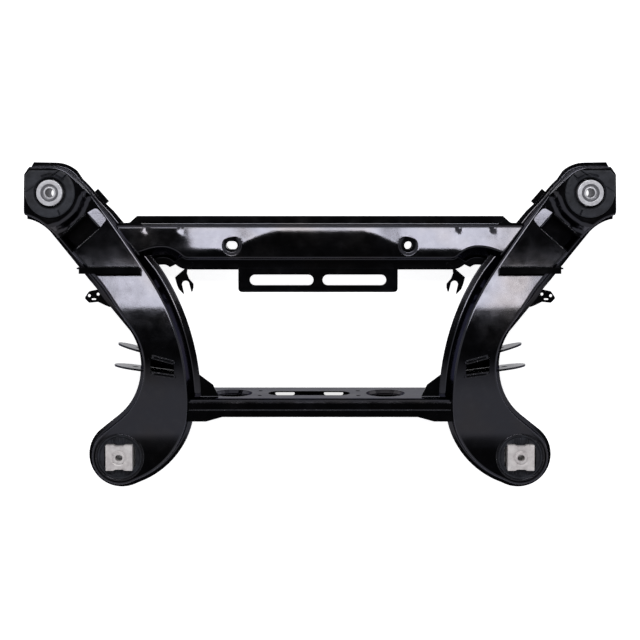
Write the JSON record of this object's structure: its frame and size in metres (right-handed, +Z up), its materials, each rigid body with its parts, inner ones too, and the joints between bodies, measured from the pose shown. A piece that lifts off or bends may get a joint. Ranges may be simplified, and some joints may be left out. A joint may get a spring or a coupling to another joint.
{
  "type": "rear axle subframe",
  "caption": "Welded pressed-steel rear axle subframe: two curved box arms, front and rear crossmembers, link brackets and bonded rubber body bushes.",
  "frame": {"origin": "on the floor, under the middle of the frame", "axes": "+X to the right across the car, +Y to the front of the car, +Z up"},
  "size_m": [1.174, 0.6534, 0.1735],
  "materials": {
    "black_paint": "gloss black paint",
    "rubber": "matt dark rubber",
    "zinc": "bright plated steel",
    "cast_alloy": "matt cast alloy"
  },
  "bodies": {
    "root": {"arm_upper_shell_R": "black_paint", "arm_upper_shell_L": "black_paint", "arm_lower_shell_R": "black_paint", "arm_lower_shell_L": "black_paint", "front_bush_tube_R": "black_paint", "front_bush_tube_L": "black_paint", "front_bush_rubber_R": "rubber", "front_bush_rubber_L": "rubber", "front_bush_sleeve_R": "zinc", "front_bush_sleeve_L": "zinc", "rear_bush_tube_R": "black_paint", "rear_bush_tube_L": "black_paint", "rear_bush_rubber_R": "rubber", "rear_bush_rubber_L": "rubber", "rear_bush_core_R": "cast_alloy", "rear_bush_core_L": "cast_alloy", "upper_link_bracket_R": "black_paint", "upper_link_bracket_L": "black_paint", "lower_link_plate_front_R": "black_paint", "lower_link_plate_front_L": "black_paint", "lower_link_plate_rear_R": "black_paint", "lower_link_plate_rear_L": "black_paint", "stop_plate_R": "black_paint", "stop_plate_L": "black_paint", "line_clip_R": "black_paint", "line_clip_L": "black_paint", "pad_tab_R": "black_paint", "pad_tab_L": "black_paint", "junction_plate_R": "black_paint", "junction_plate_L": "black_paint", "cable_fork_R": "black_paint", "cable_fork_L": "black_paint", "gusset_R": "black_paint", "gusset_L": "black_paint", "front_crossmember_upper": "black_paint", "front_crossmember_lower": "black_paint", "front_mount_tube_L": "black_paint", "front_mount_tube_R": "black_paint", "ladder_bracket": "black_paint", "rear_crossmember_shell": "black_paint", "rear_crossmember_back": "black_paint", "rear_collar_L": "black_paint", "rear_collar_R": "black_paint"}
  },
  "joints": []
}
